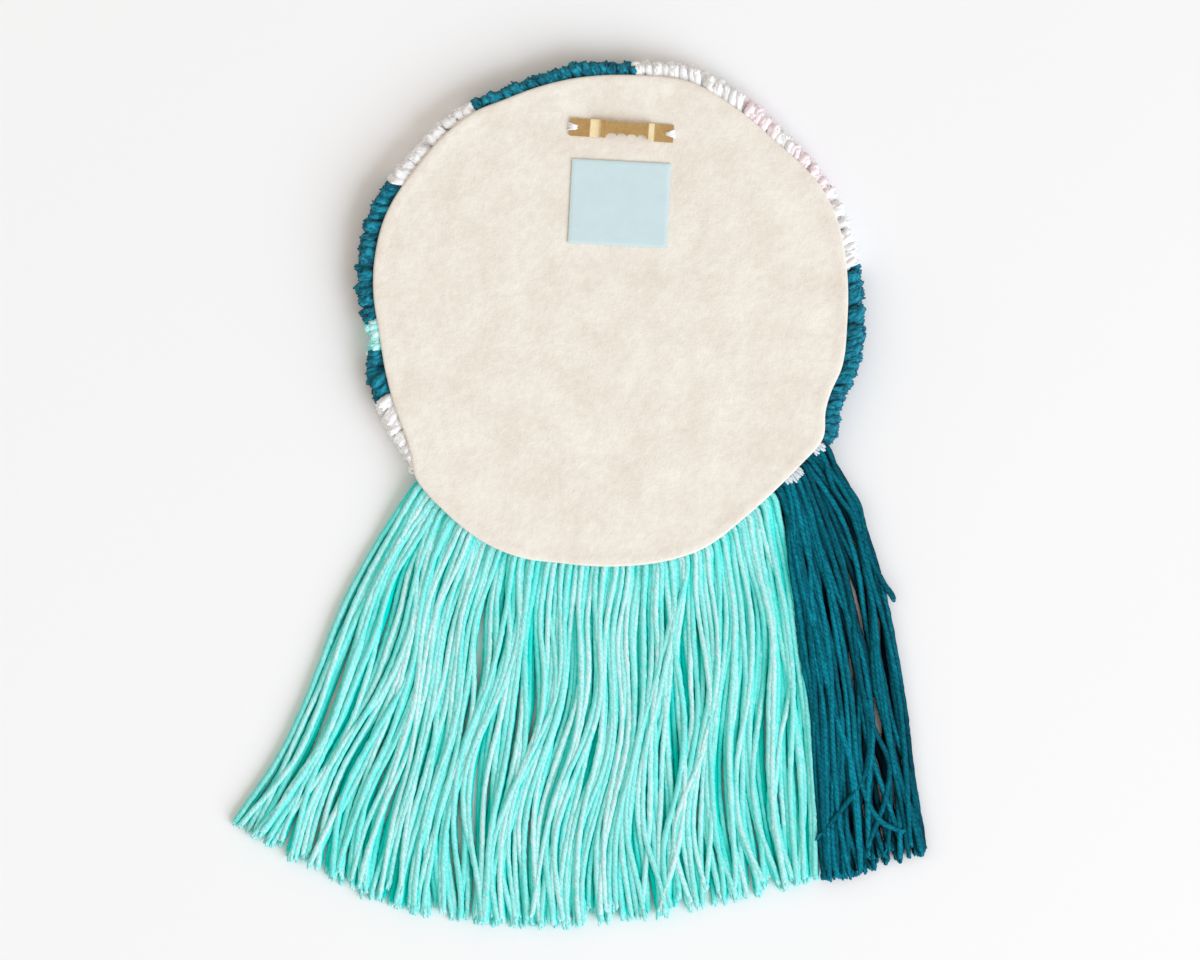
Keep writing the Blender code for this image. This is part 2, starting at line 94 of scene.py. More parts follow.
# Courses of a few strands, by the angle of their root: points in mm from the disc's centre
Guide = namedtuple("Guide", "rank angle x1 y1 x2 y2 x3 y3")
AQUA_GUIDES = [
    Guide(0.000, 220.0, -113.5, -118.0, -140.5, -182.0, -163.5, -218.0),
    Guide(0.070, 225.5, -99.0, -129.5, -125.5, -188.0, -142.5, -229.5),
    Guide(0.180, 233.5, -82.0, -142.4, -101.0, -202.0, -108.0, -248.0),
    Guide(0.290, 242.5, -65.3, -155.3, -78.5, -207.5, -81.0, -256.5),
    Guide(0.420, 254.0, -35.5, -159.7, -47.0, -220.0, -49.5, -261.5),
    Guide(0.550, 267.5, -9.5, -164.0, -18.0, -220.0, -22.0, -262.0),
    Guide(0.690, 281.0, 17.0, -164.0, 12.0, -220.0, 12.5, -258.5),
    Guide(0.830, 294.5, 46.5, -164.0, 44.5, -220.0, 46.5, -252.0),
    Guide(0.945, 306.0, 71.0, -155.0, 76.0, -212.0, 78.0, -244.0),
    Guide(1.000, 313.0, 82.5, -142.4, 87.0, -190.0, 89.5, -241.5),
]
TEAL_GUIDES = [
    Guide(0.00, 314.5, 80.0, -113.0, 88.0, -172.6, 94.0, -241.0),
    Guide(0.35, 318.5, 89.0, -110.0, 99.0, -178.0, 106.4, -239.5),
    Guide(0.65, 322.5, 98.5, -100.0, 111.0, -172.0, 120.0, -234.5),
    Guide(0.85, 325.5, 103.5, -86.0, 121.0, -158.0, 130.0, -231.0),
    Guide(1.00, 329.4, 106.5, -79.0, 125.5, -151.0, 136.0, -229.8),
]

# Teal strands that lie on the others on a way of their own, from the angle of their root on
Way = namedtuple("Way", "angle points")
TEAL_WAYS = [
    Way(329.8, [(99.0, -67.0), (107.4, -79.4), (111.6, -100.0), (116.9, -111.0), (123.3, -120.7)]),
    Way(328.0, [
        (96.5, -72.0), (104.8, -84.5), (110.5, -104.0), (119.5, -134.0), (126.0, -170.0), (130.0, -226.0),
    ]),
    Way(321.5, [
        (99.0, -112.0), (106.5, -150.0), (114.0, -176.0), (120.9, -192.0), (119.0, -208.0), (112.0, -226.5),
    ]),
    Way(323.0, [
        (103.0, -116.0), (107.0, -148.0), (112.0, -180.0), (110.0, -197.0), (101.0, -210.5), (90.6, -223.7),
    ]),
    Way(320.0, [(96.0, -118.0), (104.0, -160.0), (108.0, -198.0), (116.0, -216.0), (127.0, -221.8)]),
]

# Yarn and how it heaps up
YARN_RADIUS = 1.32 * MM
PLIES = 4
PLY_PITCH = 9.5 * MM  # length of one whole turn of the plies
STEP = 2.0 * MM  # between a strand's rings
CELL = 0.6 * MM  # of the height map that strands are laid on
PACKING = 0.68  # share of its height that a heap of yarn keeps
STIFF = 3  # steps over which a strand bridges a hollow
STRIP_DEPTH = 5.0 * MM  # how far under the felt a strand starts
LEAD = 3.0 * MM  # how far it runs straight out from the felt
ROOT_LOW = 2.0 * MM  # height of the first strand's root
ROOT_HIGH = 8.6 * MM  # and of the last one's
ROOT_RUN = 22.0 * MM  # length over which a strand comes down from its root

# Camera straight above, as wide as the photograph's frame at the felt
FRAME_WIDTH = 519.2 * MM
FRAME_CENTRE = Vector((-4.8 * MM, -68.8 * MM))  # from the disc's centre
CAMERA_HEIGHT = 1.8
SENSOR = 36.0

rng = np.random.default_rng(SEED)


def linear(red, green, blue):
    """Linear colour of an sRGB one given in 0 to 255."""
    parts = []
    for value in (red, green, blue):
        share = value / 255.0
        parts.append(share / 12.92 if share <= 0.04045 else ((share + 0.055) / 1.055) ** 2.4)
    return (*parts, 1.0)


def smooth(share):
    """Eases a share from 0 to 1 in and out."""
    share = np.clip(share, 0.0, 1.0)
    return share * share * (3.0 - 2.0 * share)


def bell(value, middle, width):
    return math.exp(-(((value - middle) / width) ** 2))


def hermite(a, b, slope_a, slope_b, t):
    """Between a and b at t from 0 to 1, on a curve with these slopes at its ends."""
    return (
        a * (2 * t**3 - 3 * t**2 + 1)
        + slope_a * (t**3 - 2 * t**2 + t)
        + b * (3 * t**2 - 2 * t**3)
        + slope_b * (t**3 - t**2)
    )


def round_trip(rows, angle):
    """Second column of a table of angles, on a smooth curve that closes after 360 degrees."""
    angles = [row[0] for row in rows]
    values = [row[1] for row in rows]
    count = len(rows)
    here = angle % 360.0
    after = bisect_right(angles, here)
    spots = [after - 2, after - 1, after, after + 1]
    a = [angles[k % count] + 360.0 * (k // count) for k in spots]
    v = [values[k % count] for k in spots]
    span = a[2] - a[1]
    slope_1 = (v[2] - v[0]) / (a[2] - a[0]) * span
    slope_2 = (v[3] - v[1]) / (a[3] - a[1]) * span
    return hermite(v[1], v[2], slope_1, slope_2, (here - a[1]) / span)


def felt_radius(angle):
    return round_trip(FELT_EDGE, angle) * MM


def pile_reach(angle):
    return round_trip(PILE_REACH, angle) * MM


def polar(radius, angle, z):
    """Point round the disc's centre, in the frame."""
    turn = math.radians(angle)
    return np.array([DISC.x + radius * math.cos(turn), DISC.y + radius * math.sin(turn), z])


def turned(x, y, turn):
    """x and y after a turn about the origin."""
    return x * math.cos(turn) - y * math.sin(turn), x * math.sin(turn) + y * math.cos(turn)


def new_object(name, mesh, material):
    mesh.materials.append(material)
    obj = bpy.data.objects.new(name, mesh)
    bpy.context.scene.collection.objects.link(obj)
    return obj


# Materials


def new_material(name, colour, roughness):
    material = bpy.data.materials.new(name)
    material.use_nodes = True
    shader = material.node_tree.nodes["Principled BSDF"]
    shader.inputs["Base Color"].default_value = colour
    shader.inputs["Roughness"].default_value = roughness
    return material, shader


def add_node(material, kind, links=(), **values):
    """Adds a node, sets its properties or inputs, and links (output, input) pairs into it."""
    node = material.node_tree.nodes.new(kind)
    for key, value in values.items():
        if hasattr(node, key):
            setattr(node, key, value)
        else:
            node.inputs[key.replace("_", " ")].default_value = value
    for source, target in links:
        material.node_tree.links.new(source, node.inputs[target])
    return node


def math_node(material, operation, first, second=0.0):
    node = material.node_tree.nodes.new("ShaderNodeMath")
    node.operation = operation
    for socket, value in zip(node.inputs, (first, second)):
        if isinstance(value, (int, float)):
            socket.default_value = value
        else:
            material.node_tree.links.new(value, socket)
    return node.outputs[0]


def ramp(material, value, slope, start):
    """start + slope * value, for a socket's value."""
    return math_node(material, "ADD", start, math_node(material, "MULTIPLY", value, slope))


def mix_node(material, share, first, second):
    """Mixes two colours, each a socket or a plain colour."""
    node = material.node_tree.nodes.new("ShaderNodeMix")
    node.data_type = "RGBA"
    for socket, value in ((node.inputs[0], share), (node.inputs[6], first), (node.inputs[7], second)):
        if hasattr(value, "links"):
            material.node_tree.links.new(value, socket)
        else:
            socket.default_value = value
    return node.outputs[2]


def add_bump(material, shader, height, distance, strength):
    bump = add_node(material, "ShaderNodeBump", [(height, "Height")])
    bump.inputs["Distance"].default_value = distance
    bump.inputs["Strength"].default_value = strength
    material.node_tree.links.new(bump.outputs["Normal"], shader.inputs["Normal"])


def noise_node(material, place, scale, detail=3.0, roughness=0.5):
    node = add_node(material, "ShaderNodeTexNoise", [(place, "Vector")])
    node.inputs["Scale"].default_value = scale
    node.inputs["Detail"].default_value = detail
    node.inputs["Roughness"].default_value = roughness
    return node.outputs["Fac"]


# the first colour is painted shade and the second painted light, mixed by the mesh's tone; groove paints
# shade into the yarn between its plies, relief lifts the plies, and fuzz is the wool's share in both
Look = namedtuple("Look", "deep light groove relief fuzz sheen")
PLY_CREST = 0.6  # below 1 it rounds the plies and narrows the grooves
FIBRE_SCALE = 1700.0  # of noise, for each metre
SPECK_SCALE = 850.0
PATCH_SCALE = 320.0
CLOUDY = 0.56  # difference in shade that patches make
YARN_RELIEF = 0.35 * MM


def yarn_material(name, look):
    """Matt plied yarn, paler where its mesh has more tone: its colours run from painted shade to painted
    light, with painted shade between its plies.
    """
    material, shader = new_material(name, look.light, 0.9)
    uv = add_node(material, "ShaderNodeUVMap", uv_map="strand")
    parts = add_node(material, "ShaderNodeSeparateXYZ", [(uv.outputs[0], 0)])
    turn = math_node(material, "SUBTRACT", parts.outputs[0], parts.outputs[1])
    wave = math_node(material, "COSINE", math_node(material, "MULTIPLY", turn, math.pi * PLIES))
    ply = math_node(material, "POWER", math_node(material, "ABSOLUTE", wave), PLY_CREST)
    place = add_node(material, "ShaderNodeTexCoord").outputs["Object"]
    fibres = noise_node(material, place, FIBRE_SCALE, 3.0, 0.6)
    patches = noise_node(material, place, PATCH_SCALE, 3.0)
    specks = noise_node(material, place, SPECK_SCALE, 2.0, 0.6)
    woolly = math_node(material, "ADD", fibres, math_node(material, "MULTIPLY", specks, 1.5))
    height = math_node(
        material, "ADD",
        math_node(material, "MULTIPLY", ply, 1.0 - look.fuzz),
        math_node(material, "MULTIPLY", woolly, 0.3 + 0.7 * look.fuzz),
    )
    tone = add_node(material, "ShaderNodeAttribute", attribute_name="tone").outputs["Fac"]
    # painted shade: darker in the grooves between the plies
    groove_shade = ramp(material, ply, look.groove, 1.0 - look.groove)
    cloudy = ramp(material, patches, CLOUDY, 1.0 - CLOUDY / 2)
    speckled = ramp(material, specks, 2.0 * look.fuzz, 1.0 - look.fuzz)
    shade = math_node(material, "MULTIPLY", math_node(material, "MULTIPLY", tone, groove_shade), cloudy)
    share = math_node(material, "MULTIPLY", shade, speckled)
    colour = mix_node(material, share, look.deep, look.light)
    material.node_tree.links.new(colour, shader.inputs["Base Color"])
    shader.inputs["Sheen Weight"].default_value = look.sheen
    shader.inputs["Sheen Roughness"].default_value = 0.5
    shader.inputs["Specular IOR Level"].default_value = 0.03
    add_bump(material, shader, height, YARN_RELIEF, look.relief)
    return material


MATTED_SCALE = 330.0  # of noise, for each metre
FELT_FIBRE_SCALE = 1500.0
MOTTLE_SCALE = 60.0
MOTTLE_SHARE = 0.55  # of the felt's shade; its matting gives the rest
MOTTLE_CONTRAST = 2.2
FELT_RELIEF = 0.6 * MM


def felt_material():
    """Brushed cream felt: soft matted relief, fine fibres and a faint mottle."""
    material, shader = new_material("felt_cream", linear(240, 233, 223), 0.95)
    place = add_node(material, "ShaderNodeTexCoord").outputs["Object"]
    matted = noise_node(material, place, MATTED_SCALE, 4.0, 0.65)
    fibres = noise_node(material, place, FELT_FIBRE_SCALE, 3.0, 0.6)
    mottle = noise_node(material, place, MOTTLE_SCALE, 3.0, 0.6)
    height = math_node(material, "ADD", matted, math_node(material, "MULTIPLY", fibres, 0.3))
    part = math_node(material, "MULTIPLY", matted, 1.0 - MOTTLE_SHARE)
    blend = math_node(material, "ADD", math_node(material, "MULTIPLY", mottle, MOTTLE_SHARE), part)
    share = ramp(material, math_node(material, "SUBTRACT", blend, 0.5), MOTTLE_CONTRAST, 0.5)
    colour = mix_node(material, share, linear(230, 220, 206), linear(250, 244, 235))
    material.node_tree.links.new(colour, shader.inputs["Base Color"])
    shader.inputs["Sheen Weight"].default_value = 0.15
    shader.inputs["Specular IOR Level"].default_value = 0.2
    add_bump(material, shader, height, FELT_RELIEF, 0.6)
    return material


WEAVE_DARKER = 0.93  # share of its colour that a weave keeps in its darker patches


def weave_material(name, colour, pitch, depth):
    """Plain weave: crossing threads at their real pitch."""
    material, shader = new_material(name, colour, 0.85)
    turns = 2 * math.pi / pitch
    place = add_node(material, "ShaderNodeTexCoord").outputs["Object"]
    parts = add_node(material, "ShaderNodeSeparateXYZ", [(place, 0)])
    warp = math_node(material, "SINE", math_node(material, "MULTIPLY", parts.outputs[0], turns))
    weft = math_node(material, "SINE", math_node(material, "MULTIPLY", parts.outputs[1], turns))
    height = math_node(material, "MULTIPLY", warp, weft)
    cloudy = noise_node(material, place, 180.0, 2.0)
    darker = (*(WEAVE_DARKER * part for part in colour[:3]), 1.0)
    tint = mix_node(material, cloudy, darker, colour)
    material.node_tree.links.new(tint, shader.inputs["Base Color"])
    shader.inputs["Specular IOR Level"].default_value = 0.3
    add_bump(material, shader, height, depth, 0.5)
    return material


Slope = namedtuple("Slope", "middle half")
GLINT_SLOPES = (Slope(-11.6 * MM, 2.1 * MM), Slope(12.85 * MM, 1.15 * MM))  # painted reflections on the bends' slopes, along the hanger
SCRATCH_SCALE = 2600.0  # of noise, for each metre across the strip
SCRATCH_STRETCH = 0.12  # of that along it
SCRATCH_DEPTH = 0.05 * MM


def brass_material():
    """Pressed brass: satin, with fine scratches along the strip, darker patches and painted reflections on
    its slopes.
    """
    material, shader = new_material("brass_strip", linear(228, 196, 138), 0.3)
    shader.inputs["Metallic"].default_value = 1.0
    place = add_node(material, "ShaderNodeTexCoord").outputs["Object"]
    stretched = add_node(material, "ShaderNodeMapping", [(place, "Vector")])
    stretched.inputs["Scale"].default_value = (SCRATCH_STRETCH, 1.0, 1.0)
    scratches = noise_node(material, stretched.outputs[0], SCRATCH_SCALE, 3.0)
    patches = noise_node(material, place, 420.0, 2.0)
    bright = mix_node(material, patches, linear(240, 220, 172), linear(254, 242, 208))
    plain_brass = mix_node(material, patches, linear(198, 160, 100), linear(236, 203, 145))
    along = add_node(material, "ShaderNodeSeparateXYZ", [(place, 0)]).outputs[0]
    near = []
    # painted reflection: brighter colour over each bend's slope
    for slope in GLINT_SLOPES:
        away = math_node(material, "ABSOLUTE", math_node(material, "SUBTRACT", along, slope.middle))
        near.append(math_node(material, "LESS_THAN", away, slope.half))
    on_glint_slope = math_node(material, "MAXIMUM", *near)
    colour = mix_node(material, on_glint_slope, plain_brass, bright)
    material.node_tree.links.new(colour, shader.inputs["Base Color"])
    rough = ramp(material, scratches, 0.3, 0.2)
    material.node_tree.links.new(rough, shader.inputs["Roughness"])
    add_bump(material, shader, scratches, SCRATCH_DEPTH, 0.35)
    return material


LOOKS = {
    # The rim's teal is set paler than the fringe's teal: painted light where its cut ends catch the lamp
    "teal": Look(linear(4, 44, 68), linear(42, 162, 188), 0.05, 1.0, 0.7, 0.12),
    "white": Look(linear(249, 249, 250), linear(251, 251, 252), 0.0, 0.15, 0.8, 0.35),
    "pink": Look(linear(253, 235, 240), linear(254, 244, 248), 0.0, 0.15, 0.8, 0.35),
    "aqua": Look(linear(96, 240, 232), linear(226, 252, 254), 0.0, 0.25, 0.8, 0.3),
    "wisps": Look(linear(200, 209, 213), linear(238, 240, 241), 0.1, 0.5, 0.8, 0.1),
    "fringe_aqua": Look(linear(2, 236, 226), linear(228, 251, 254), 0.3, 1.0, 0.65, 0.0),
    "fringe_teal": Look(linear(0, 24, 36), linear(18, 150, 174), 0.35, 1.0, 0.6, 0.03),
}
YARNS = {name: yarn_material("yarn_" + name, look) for name, look in LOOKS.items()}


# Yarn meshes

# A yarn's tone carries painted shade (on its sides, under the heap's top, at its roots) as well as tone
# that differs at random
Yarn = namedtuple("Yarn", "points radii tone turn sides rough", defaults=(0.0,))
TONE_POWER = 1.25  # keeps the middle tones deep in painted shade and lets only the tops turn pale with painted light
TONE_LIMIT = 1.4
SIDE_SHADE = 0.85  # share of its tone that a strand loses from its top to its sides, as painted shade
STRAND_ROUGH = 0.07  # share of its radius by which a strand's side is uneven
UPRIGHT = 0.8  # rise of a yarn's course from which it counts as standing


def tube(yarn):
    """Rings of points round a yarn, their tones with painted shade on its sides, and the turns of its plies
    up to each ring.
    """
    along = np.gradient(yarn.points, axis=0)
    along /= np.linalg.norm(along, axis=1)[:, None]
    upright = abs(along[:, 2]).mean() > UPRIGHT
    other = np.cross(along, [1.0, 0.0, 0.0] if upright else [0.0, 0.0, 1.0])
    other /= np.linalg.norm(other, axis=1)[:, None]
    third = np.cross(other, along)
    angle = 2 * math.pi * np.arange(yarn.sides) / yarn.sides
    uneven = 1.0 + yarn.rough * rng.normal(0, 1, (len(yarn.points), yarn.sides))
    radii = yarn.radii[:, None] * uneven
    rings = (
        yarn.points[:, None, :]
        + (radii * np.cos(angle)[None, :])[:, :, None] * other[:, None, :]
        + (radii * np.sin(angle)[None, :])[:, :, None] * third[:, None, :]
    )
    rings[:, :, 2] = np.maximum(rings[:, :, 2], 0.0)  # flat where it rests on the surface
    # painted shade: the sides and underside of a strand get less tone than its top
    up = np.outer(third[:, 2], np.sin(angle)) + np.outer(other[:, 2], np.cos(angle))
    tone = yarn.tone[:, None] * (1.0 - SIDE_SHADE * (1.0 - np.clip(up, 0.0, 1.0)))
    # painted shade and light: paler where a strand's side bulges out, darker where it dips
    tone = np.clip(tone, 0.0, TONE_LIMIT) ** TONE_POWER * uneven**2
    steps = np.linalg.norm(np.diff(yarn.points, axis=0), axis=1)
    run = np.concatenate([[0.0], np.cumsum(steps)])
    return rings, tone, run / PLY_PITCH + yarn.turn


def tube_faces(sides, twist, base):
    """Corners, corner counts and map places of a tube's quads, then of its two end caps."""
    count = len(twist)
    around = np.arange(sides)
    row = np.arange(count - 1)[:, None] * sides + base
    here = row + around[None, :]
    there = row + (around[None, :] + 1) % sides
    quads = np.stack([here, there, there + sides, here + sides], axis=2).reshape(-1, 4)
    u0 = np.broadcast_to(around[None, :] / sides, (count - 1, sides))
    u1 = u0 + 1.0 / sides
    v0 = np.broadcast_to(twist[:-1, None], (count - 1, sides))
    v1 = np.broadcast_to(twist[1:, None], (count - 1, sides))
    marks = np.stack([u0, v0, u1, v0, u1, v1, u0, v1], axis=2).reshape(-1, 2)
    yield quads.reshape(-1), np.full(len(quads), 4), marks
    for first, order in ((base, around[::-1]), (base + (count - 1) * sides, around)):
        yield first + order, np.array([sides]), np.stack([order / sides, np.full(sides, twist[0])], axis=1)


def yarn_mesh(name, yarns):
    """One mesh of all the yarns. Its map runs round each strand and along it in turns of the plies."""
    places, tones, faces = [], [], []
    base = 0
    for yarn in yarns:
        rings, tone, twist = tube(yarn)
        places.append(rings.reshape(-1, 3))
        tones.append(tone.reshape(-1))
        faces.extend(tube_faces(yarn.sides, twist, base))
        base += tone.size
    places, tones = np.concatenate(places), np.concatenate(tones)
    corners, totals, marks = (np.concatenate(column) for column in zip(*faces))
    starts = np.concatenate([[0], np.cumsum(totals)[:-1]])
    mesh = bpy.data.meshes.new(name)
    mesh.vertices.add(len(places))
    mesh.vertices.foreach_set("co", places.reshape(-1))
    mesh.loops.add(len(corners))
    mesh.loops.foreach_set("vertex_index", corners.astype(np.int32))
    mesh.polygons.add(len(totals))
    mesh.polygons.foreach_set("loop_start", starts.astype(np.int32))
    mesh.polygons.foreach_set("use_smooth", np.ones(len(totals), dtype=bool))
    mesh.update(calc_edges=True)
    uv = mesh.uv_layers.new(name="strand")
    uv.uv.foreach_set("vector", marks.reshape(-1).astype(np.float32))
    tone = mesh.attributes.new("tone", "FLOAT", "POINT")
    tone.data.foreach_set("value", tones.astype(np.float32))
    mesh.validate()
    return mesh


# Cut ends: places along one from its root to its tip, and its radius there
SPLAY_ALONG = np.array([0.0, 0.35, 0.7, 0.92, 1.0])
SPLAY_TAPER = np.array([0.8, 1.0, 1.0, 0.85, 0.4])
SPLAY_SIDES = 5
SPLAY_ROUGH = 0.1
SPLAY_CLEAR = 1.6  # least height of a ply's middle, in radii
LUMP_ALONG = np.array([0.0, 0.2, 0.38, 0.56, 0.72, 0.86, 0.95, 0.99])
LUMP_TAPER = np.array([0.7, 0.9, 1.0, 1.05, 1.05, 1.0, 0.8, 0.4])
LUMP_SIDES = 9
LUMP_ROUGH = 0.16  # share of its radius by which a cut end's side is uneven
LUMP_STRAY = 0.22 * MM
LUMP_PLIES = 6
LUMP_PLY_RADIUS = 0.7 * MM
WISP_RADIUS = 0.55 * MM
END_RADIUS = 0.75 * MM


def splay(root, tip, plies, width, radius, arch, tones):
    """Plies of a cut yarn end: they share one root, arch over and part towards the tip."""
    yarns = []
    span = tip - root
    ahead = span / np.linalg.norm(span)
    share = SPLAY_ALONG
    for _ in range(plies):
        aside = rng.normal(0, 1, 3)
        aside -= ahead * aside.dot(ahead)
        aside *= width / 2 * math.sqrt(rng.uniform(0.1, 1.0)) / np.linalg.norm(aside)
        reach = rng.uniform(0.8, 1.05)
        points = root + span * (share * reach)[:, None] + aside * (share**0.6)[:, None]
        points[:, 2] += arch * np.sin(math.pi * share)
        points[1:4] += rng.normal(0, 0.25 * radius, (3, 3))
        points[:, 2] = np.maximum(points[:, 2], SPLAY_CLEAR * radius)
        radii = radius * rng.uniform(0.85, 1.2) * SPLAY_TAPER
        tone = (tones[0] + (tones[1] - tones[0]) * share) * rng.uniform(0.7, 1.0)
        yarns.append(Yarn(points, radii, tone, rng.uniform(), SPLAY_SIDES, SPLAY_ROUGH))
    return yarns


def lump(root, tip, radius, arch):
    """Cut yarn end of the pile: a soft body that arches over, and thick plies that part over it."""
    points = root + (tip - root) * LUMP_ALONG[:, None]
    points[:, 2] += arch * np.sin(math.pi * LUMP_ALONG)
    points[1:-1] += rng.normal(0, LUMP_STRAY, (len(points) - 2, 3))
    bright = rng.uniform(0.75, 1.0)
    # painted shade: darker at the root under the felt's edge, paler towards the tip
    tone = bright * np.clip(0.1 + 1.2 * LUMP_ALONG, 0.0, 0.9)
    body = Yarn(points, radius * LUMP_TAPER, tone, rng.uniform(), LUMP_SIDES, LUMP_ROUGH)
    plies = splay(root, tip, LUMP_PLIES, 2.2 * radius, LUMP_PLY_RADIUS, arch, (0.2 * bright, bright))
    return [body, *plies]


# Fringes


class Heap:
    """Height map that strands are laid on, one after another."""

    def __init__(self, low, high):
        self.low = np.array(low)
        size = np.ceil((np.array(high) - self.low) / CELL).astype(int) + 12
        self.height = np.zeros(size)

    def cells(self, points):
        return np.round((points[:, :2] - self.low) / CELL).astype(int) + 5

    def footprint(self, radius):
        reach = int(radius / CELL)
        for dx in range(-reach, reach + 1):
            for dy in range(-reach, reach + 1):
                away = math.hypot(dx, dy) * CELL
                if away < radius:
                    yield dx, dy, math.sqrt(radius**2 - away**2)

    def lay(self, points, radii, stiff):
        """Heights at which a strand rests along its course; it bridges short hollows."""
        cells = self.cells(points)
        floor = np.zeros(len(points))
        for dx, dy, rise in self.footprint(radii.mean() * 0.9):
            floor = np.maximum(floor, self.height[cells[:, 0] + dx, cells[:, 1] + dy] + rise)
        floor = np.maximum(floor, radii)
        wide = np.pad(floor, stiff, mode="edge")
        bridged = np.max([wide[k : k + len(floor)] for k in range(2 * stiff + 1)], axis=0)
        wide = np.pad(bridged, stiff, mode="edge")
        return np.mean([wide[k : k + len(floor)] for k in range(2 * stiff + 1)], axis=0)

    def add(self, points, radii):
        cells = self.cells(points)
        for dx, dy, rise in self.footprint(radii.mean()):
            x, y = cells[:, 0] + dx, cells[:, 1] + dy
            top = (points[:, 2] + rise) * PACKING
            np.maximum.at(self.height, (x, y), top)


def guide_at(guides, rank):
    """A guide between the table's rows, for a strand at this rank."""
    rank = min(max(rank, 0.0), 1.0)
    for left, right in zip(guides, guides[1:]):
        if rank <= right.rank:
            break
    share = (rank - left.rank) / (right.rank - left.rank)
    return Guide(*(a + (b - a) * share for a, b in zip(left, right)))


def course(guide):
    """Points along a guide's smooth curve, in the frame, on the surface."""
    return laid_from(guide.angle, [(guide.x1, guide.y1), (guide.x2, guide.y2), (guide.x3, guide.y3)])


def laid_from(angle, places):
    """Course of a strand from its root at this angle through places in mm from the disc's centre."""
    spots = [polar(felt_radius(angle) + out, angle, 0.0) for out in (-STRIP_DEPTH, LEAD)]
    for x, y in places:
        spots.append(np.array([DISC.x + x * MM, DISC.y + y * MM, 0.0]))
    return smooth_way(spots)


def smooth_way(spots):
    """Points a step apart on a smooth curve through the spots."""
    route = [2 * spots[0] - spots[1], *spots, 2 * spots[-1] - spots[-2]]
    points = []
    for before, here, there, after in zip(route, route[1:], route[2:], route[3:]):
        ahead = np.linalg.norm(there - here)
        pieces = max(int(ahead / STEP), 1)
        slope_a = (there - before) / np.linalg.norm(there - before) * ahead
        slope_b = (after - here) / np.linalg.norm(after - here) * ahead
        for t in np.arange(pieces) / pieces:
            points.append(hermite(here, there, slope_a, slope_b, t))
    points.append(spots[-1])
    return np.array(points)


def leftwards(points):
    """Unit steps to the left of a level course."""
    along = np.gradient(points, axis=0)
    along /= np.linalg.norm(along, axis=1)[:, None]
    return np.stack([-along[:, 1], along[:, 0], np.zeros(len(points))], axis=1)


def wander(points, wide, waves):
    """Lets a course wander sideways, little at its root and more further down."""
    share = np.linspace(0.0, 1.0, len(points))
    drift = wide * np.sin(2 * math.pi * (waves * share + rng.uniform()))
    drift = drift - drift[0]
    ripple = 0.18 * wide * np.sin(2 * math.pi * (rng.uniform(2.5, 4.5) * share + rng.uniform()))
    offset = (drift + ripple) * smooth(share / 0.25)
    return points + leftwards(points) * offset[:, None]


FLOW = 2.8 * MM  # how far a whole neighbourhood of strands swings to one side and back
FLOW_DOWN = 1.25  # waves of it down a strand
FLOW_ACROSS = 3.1  # and across the fringe
FLOW_EDGE = 0.08  # share of the fringe at each edge over which it fades


def flow(points, rank):
    """Swings a course sideways in step with its neighbours; strands at the fringe's edges stay."""
    share = np.linspace(0.0, 1.0, len(points))
    phase = 2 * math.pi * (FLOW_DOWN * share + FLOW_ACROSS * rank + 0.35 * math.sin(17.0 * rank))
    swing = FLOW * np.sin(phase) * smooth(share / 0.3) * smooth(min(rank, 1 - rank) / FLOW_EDGE)
    return points + leftwards(points) * swing[:, None]


def strand(heap, points, radius, root_z):
    """Lays one strand from its root down onto what lies there already."""
    count = len(points)
    radii = np.full(count, radius) * (1 + 0.06 * np.sin(np.linspace(0, rng.uniform(15, 30), count)))
    lying = heap.lay(points, radii, STIFF)
    share = smooth(np.arange(count) * STEP / ROOT_RUN)
    points = points.copy()
    points[:, 2] = np.maximum(root_z * (1 - share) + lying * share, np.minimum(lying, root_z))
    heap.add(points[2:], radii[2:])
    radii[0] *= 0.6
    radii[-1] *= 0.7
    return points, radii


# Strands in all and in the even lower layer, crowding to one edge, scatter by rank, waver in mm, and
# how far a strand is drawn to its clump
Lay = namedtuple("Lay", "number even crowd spread waver pull")
CLUMP = 5  # strands in one
EDGE_RANK = 0.03  # strands this near a fringe's edge stay calm
CALM = 0.4  # share of the waver that they and the lower layer keep
AQUA_LAY = Lay(256, 126, 1.0, 0.010, 2.2, 0.3)
TEAL_LAY = Lay(52, 18, 1.15, 0.06, 2.2, 0.9)


